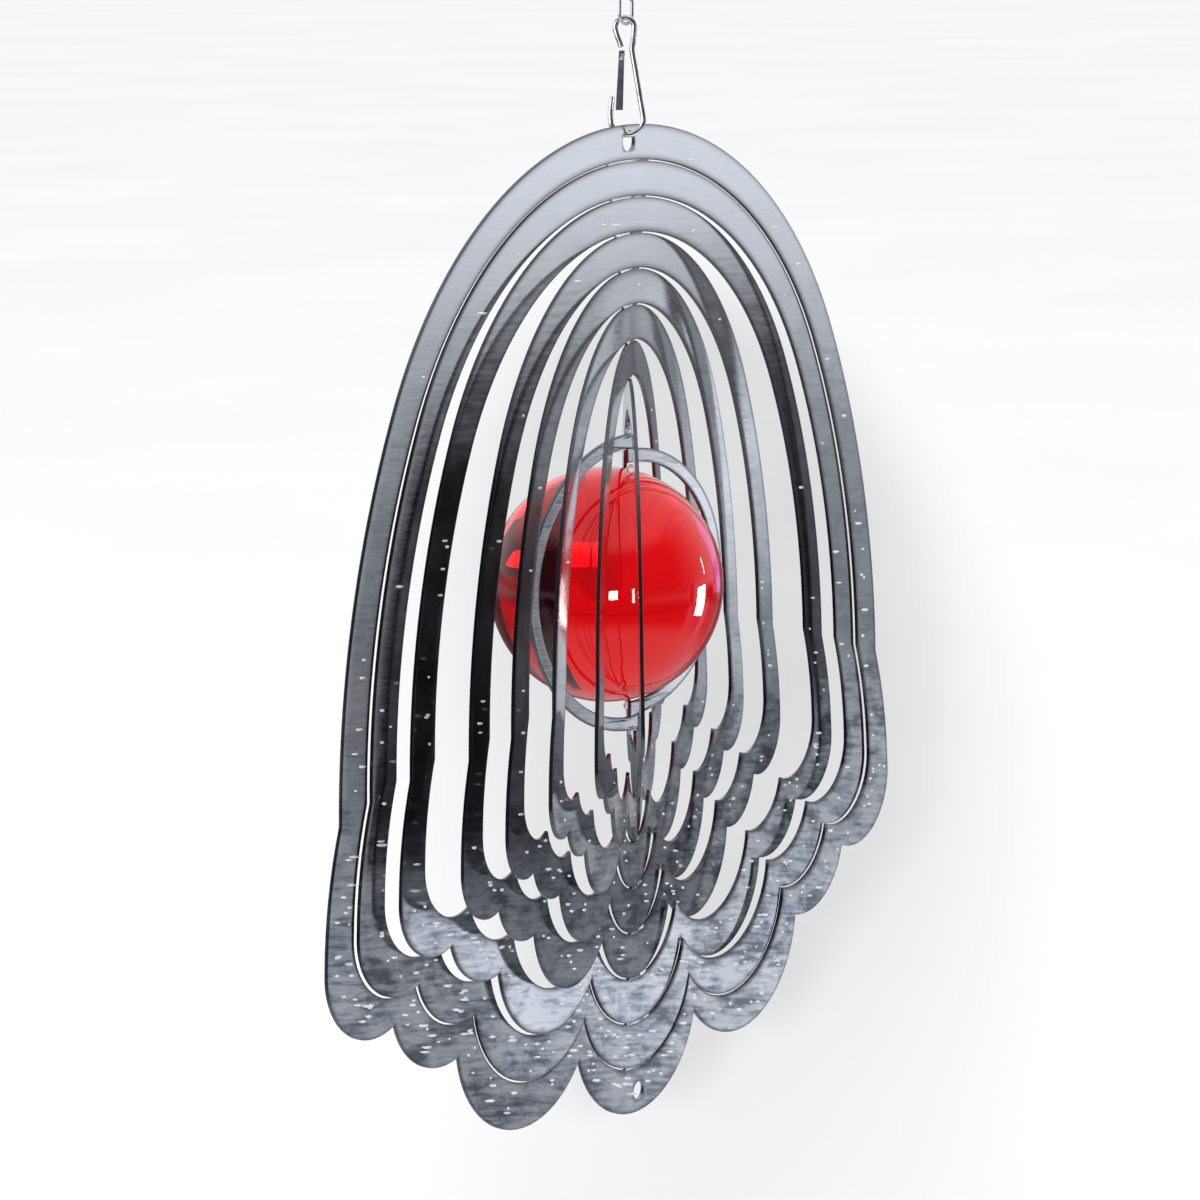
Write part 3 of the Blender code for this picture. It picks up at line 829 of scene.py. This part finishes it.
# painted shadow: a soft grey oval on the floor behind the sculpture, where the paper is darkened to 0.76
away = t.add("ShaderNodeVectorMath", operation="LENGTH")
t.put(away, 0, t.stretch(t.stretch(coords, move=(-0.03, -1.15, 0.0)), (7.0, 0.72, 1.0)))
painted_shadow = t.mix(1.0, paper, (0.76, 0.76, 0.765, 1.0), "MULTIPLY")
t.put(shader, "Base Color", t.mix(t.span(away.outputs["Value"], 0.5, 1.1), painted_shadow, paper))
t.put(shader, "Roughness", 0.9)
t.put(shader, "Specular IOR Level", 0.0)
floor = keep("floor", bm, floor_mat)
floor.location = (0.0, 0.0, FLOOR_Z)
floor.visible_glossy = False

PAN = -0.00829
TILT = 0.18351
ROLL = 0.0120
camera = bpy.data.objects.new("camera", bpy.data.cameras.new("camera"))
scene.collection.objects.link(camera)
ahead = Vector((math.sin(PAN) * math.cos(TILT), math.cos(PAN) * math.cos(TILT), -math.sin(TILT)))
right = Vector((math.cos(PAN), -math.sin(PAN), 0.0))
up = right.cross(ahead)
turned_right = right * math.cos(ROLL) - up * math.sin(ROLL)
turned_up = up * math.cos(ROLL) + right * math.sin(ROLL)
basis = Matrix((turned_right, turned_up, -ahead)).transposed()
camera.matrix_world = Matrix.Translation((0.0, -0.8179, 0.01066)) @ basis.to_4x4()
camera.data.sensor_width = 36.0
camera.data.lens = 117.9
camera.data.clip_start = 0.05
camera.data.clip_end = 100.0
scene.camera = camera


def soft_light(name, at, towards, size, power, colour=(1, 1, 1), size_y=None):
    data = bpy.data.lights.new(name, "AREA")
    data.shape = "RECTANGLE"
    data.size = size
    data.size_y = size_y or size
    data.energy = power
    data.color = colour
    lamp = bpy.data.objects.new(name, data)
    scene.collection.objects.link(lamp)
    lamp.location = at
    lamp.rotation_mode = "QUATERNION"
    lamp.rotation_quaternion = (Vector(towards) - Vector(at)).to_track_quat("-Z", "Y")
    return lamp


key = soft_light("key", (-0.16, -2.3, 0.42), (0.0, 0.0, -0.13), 0.12, 42.0)
key.visible_glossy = False
key.visible_transmission = False

sky = bpy.data.lights.new("sky", "SUN")
sky.energy = 1.02
sky.color = (1.0, 0.975, 0.94)
sky.angle = math.radians(120)
sky_lamp = bpy.data.objects.new("sky", sky)
scene.collection.objects.link(sky_lamp)
sky_lamp.rotation_euler = (math.radians(-12), math.radians(8), 0.0)
sky_lamp.visible_glossy = False
sky_lamp.visible_transmission = False

only_ball = bpy.data.collections.new("only_ball")
only_ball.objects.link(ball)


def window(name, bearing, rise_deg, wide, tall, power, colour=(1.0, 0.98, 0.95)):
    """A bright pane of light that shows only as a glint in the glass ball."""
    a, e = math.radians(bearing), math.radians(rise_deg)
    way = Vector((math.cos(a) * math.cos(e), math.sin(a) * math.cos(e), math.sin(e)))
    lamp = soft_light(name, ball_at + way * 0.5, ball_at, wide, power, colour, tall)
    lamp.visible_diffuse = False
    lamp.visible_camera = False
    lamp.light_linking.receiver_collection = only_ball


window("pane_front", -81.4, -0.4, 0.1, 0.22 / 3, 1.0)
window("pane_left", -133.5, -13.4, 0.09, 0.34 / 3, 1.0)
window("pane_right", 15.0, -13.0, 0.34 / 3, 0.46 / 3, 1.0)
window("pane_small", -64.0, -2.0, 0.07 / 3, 0.34 / 3, 1.6 / 9)
window("pane_violet", 50.0, 3.0, 0.4 / 3, 0.25, 1.3 / 9, (0.42, 0.22, 1.0))
window("pane_thin", 22.0, 6.0, 0.05 / 3, 0.08, 0.5 / 9)

only_hook = bpy.data.collections.new("only_hook")
for piece in ("hook_wire", "gate_channel", "tang_plate", "pin_rivet", "lower_eye_wire", "barrel_shell"):
    only_hook.objects.link(bpy.data.objects[piece])
glow = soft_light("hook_glow", (-0.58, -0.46, 0.02), (0.0, 0.0, -0.02), 0.95, 2.3, (0.96, 0.97, 1.0), 0.55)
glow.visible_camera = False
glow.visible_diffuse = False
glow.light_linking.receiver_collection = only_hook

# dark curved card that only rays through the glass see
CARD_R = 0.22
bm = bmesh.new()
rows = []
for i in range(13):
    a = math.radians(8.0 + 70.0 * i / 12)
    rows.append([bm.verts.new((CARD_R * math.cos(a), CARD_R * math.sin(a), z)) for z in (-0.30, 0.05)])
for one, two in zip(rows, rows[1:]):
    bm.faces.new((one[0], two[0], two[1], one[1]))
card_mat, t, shader = new_material("dark_card")
cloud = t.noise(t.add("ShaderNodeTexCoord").outputs["Object"], 9.0, 3.0)
t.put(shader, "Base Color", t.ramp(cloud, [(0.4, (0.01, 0.01, 0.01)), (0.6, (0.05, 0.05, 0.05))]))
t.put(shader, "Roughness", 0.9)
card = keep("dark_card", bm, card_mat)
for way in ("camera", "diffuse", "glossy", "shadow"):
    setattr(card, "visible_" + way, False)

world = bpy.data.worlds.new("studio")
scene.world = world
world.use_nodes = True
t = Tree(world.node_tree)
background = world.node_tree.nodes["Background"]
direction = t.add("ShaderNodeTexCoord").outputs["Generated"]
parts = t.add("ShaderNodeSeparateXYZ")
t.put(parts, 0, direction)
rise = parts.outputs[2]
bearing = t.math("MULTIPLY", t.math("ARCTAN2", parts.outputs[1], parts.outputs[0]), 180 / math.pi)
bearing = t.math("FLOORED_MODULO", bearing, 180.0)         # the same light in front and behind
ground = t.math("SUBTRACT", t.noise(t.stretch(direction, (16, 16, 70)), 1.0, 6.0, 0.72), 0.5)
WIDEST = 110.0
rise_w = t.math("ADD", rise, t.math("MULTIPLY", ground, 0.02))
bearing_w = t.math("ADD", bearing, t.math("MULTIPLY", ground, 1.2))


def around(*stops):
    """Light level by bearing in degrees, between 0 and WIDEST."""
    return t.ramp(t.span(bearing_w, 0.0, WIDEST, 0.0, 1.0, False),
                  [(at / WIDEST, (level * 0.94, level * 0.99, level * 1.09)) for at, level in stops])


def sine(degrees):
    return math.sin(math.radians(degrees))


# what the steel mirrors: rise in degrees, then light levels round the horizon by bearing
BANDS = (
    (-4.6, around(
        (5.8, 0.2), (6.2, 0.8), (18, 0.86), (41, 0.85), (43.5, 0.5), (45, 0.38), (49, 0.37), (50.2, 0.12),
        (54, 0.4), (58, 0.6), (60, 0.6), (62, 0.3), (70, 0.12), (76, 0.14), (88, 0.25), (95, 0.3))),
    (-6.3, around(
        (5.8, 0.15), (6.2, 0.9), (16, 0.5), (18, 0.6), (27, 0.56), (30.6, 0.13), (34, 0.2), (37, 0.6),
        (41, 0.5), (42.1, 0.14), (44, 0.15), (47.2, 0.38), (49.5, 0.9), (53, 0.9), (58.2, 0.6),
        (60.1, 0.24), (66, 0.1), (73.5, 0.13), (75, 0.3), (88, 0.3), (95, 0.6))),
    (-8.3, around(
        (5.8, 0.10), (6.2, 1.0), (12, 0.9), (17, 0.4), (18, 0.4), (19.7, 0.07), (22.5, 0.22), (25.4, 0.31),
        (26.6, 0.33), (28.5, 0.08), (30.6, 0.042), (38.5, 0.03), (40.0, 0.6), (42.1, 0.98), (44, 0.85),
        (46, 0.07), (48.5, 0.12), (49.6, 1.1), (53, 1.1), (58.2, 0.7), (60.1, 0.44), (66, 0.1),
        (73.5, 0.14), (76, 0.3), (95, 0.6))),
    (-11.0, around(
        (5.7, 0.12), (6.2, 1.0), (12, 0.8), (16.5, 0.25), (18, 0.2), (19.4, 0.03), (21, 0.05),
        (23.5, 0.27), (26.6, 0.30), (28.5, 0.07), (30.6, 0.045), (38.5, 0.033), (40.5, 0.2),
        (42.1, 0.37), (44.5, 0.2), (47.2, 0.09), (48.7, 0.14), (50.2, 0.62), (53, 0.5), (58.2, 0.62),
        (60.1, 0.38), (66, 0.1), (74, 0.3), (88, 0.4), (95, 0.3))),
    (-13.3, around(
        (5.7, 0.2), (6.2, 0.9), (12, 0.5), (18, 0.2), (19.5, 0.025), (22, 0.10), (25.4, 0.38), (28, 0.40),
        (31, 0.34), (34, 0.1), (38, 0.025), (42.1, 0.10), (47.2, 0.035), (50.2, 0.14), (54, 0.2),
        (58, 0.4), (60.5, 0.08), (68, 0.06), (74, 0.35), (80, 0.2), (95, 0.10))),
    (-16.0, around(
        (8, 0.5), (18, 0.36), (19.7, 0.17), (22.5, 0.52), (25.4, 0.80), (28, 0.75), (31, 0.6), (34, 0.3),
        (38, 0.16), (40, 0.30), (42.5, 0.22), (48.8, 0.27), (50.2, 0.15), (54, 0.3), (58, 0.42),
        (60.5, 0.12), (74, 0.16), (95, 0.12))),
)
shade = BANDS[-1][1]
for (upper, level), (lower, _) in zip(BANDS[-2::-1], BANDS[:0:-1]):
    shade = t.mix(t.span(rise_w, sine(lower), sine(upper), 0.0, 1.0, False), shade, level)

# patches low down, a dimmer front half and a dark sector straight ahead
patches = t.ramp(t.noise(t.stretch(direction, (22, 22, 95)), 1.0, 5.0, 0.68),
                 [(0.34, (0.42, 0.45, 0.52)), (0.47, (0.86, 0.88, 0.92)), (0.56, (1.15, 1.12, 1.08)),
                  (0.66, (1.7, 1.6, 1.5))])
shade = t.mix(t.span(rise, -0.10, -0.22, 0.25, 0.9), shade, t.mix(1.0, shade, patches, "MULTIPLY"))
dimmed = t.mix(1.0, shade, (0.6, 0.6, 0.6, 1.0), "MULTIPLY")
shade = t.mix(t.span(parts.outputs[1], -0.02, -0.12), shade, dimmed)
shade = t.mix(t.span(parts.outputs[1], -0.70, -0.90), shade, (0.06, 0.06, 0.07, 1.0))

# above the horizon it is dark in front and bright behind, and even overhead and straight below
above = t.mix(t.span(parts.outputs[1], -0.35, 0.75), (0.08, 0.085, 0.10, 1.0), (0.98, 0.99, 1.0, 1.0))
above = t.mix(t.span(rise, 0.55, 0.8), above, (0.9, 0.92, 0.95, 1.0))
shade = t.mix(t.span(rise, -0.045, 0.02), shade, above)
shade = t.mix(t.span(rise, -0.42, -0.65), shade, (0.72, 0.73, 0.75, 1.0))
seen = t.add("ShaderNodeLightPath").outputs["Is Camera Ray"]
shade = t.mix(seen, shade, (0.93, 0.93, 0.94, 1.0))    # plain backdrop past the floor's edge
t.put(background, "Color", shade)
t.put(background, "Strength", 1.0)

scene.view_settings.view_transform = "Standard"
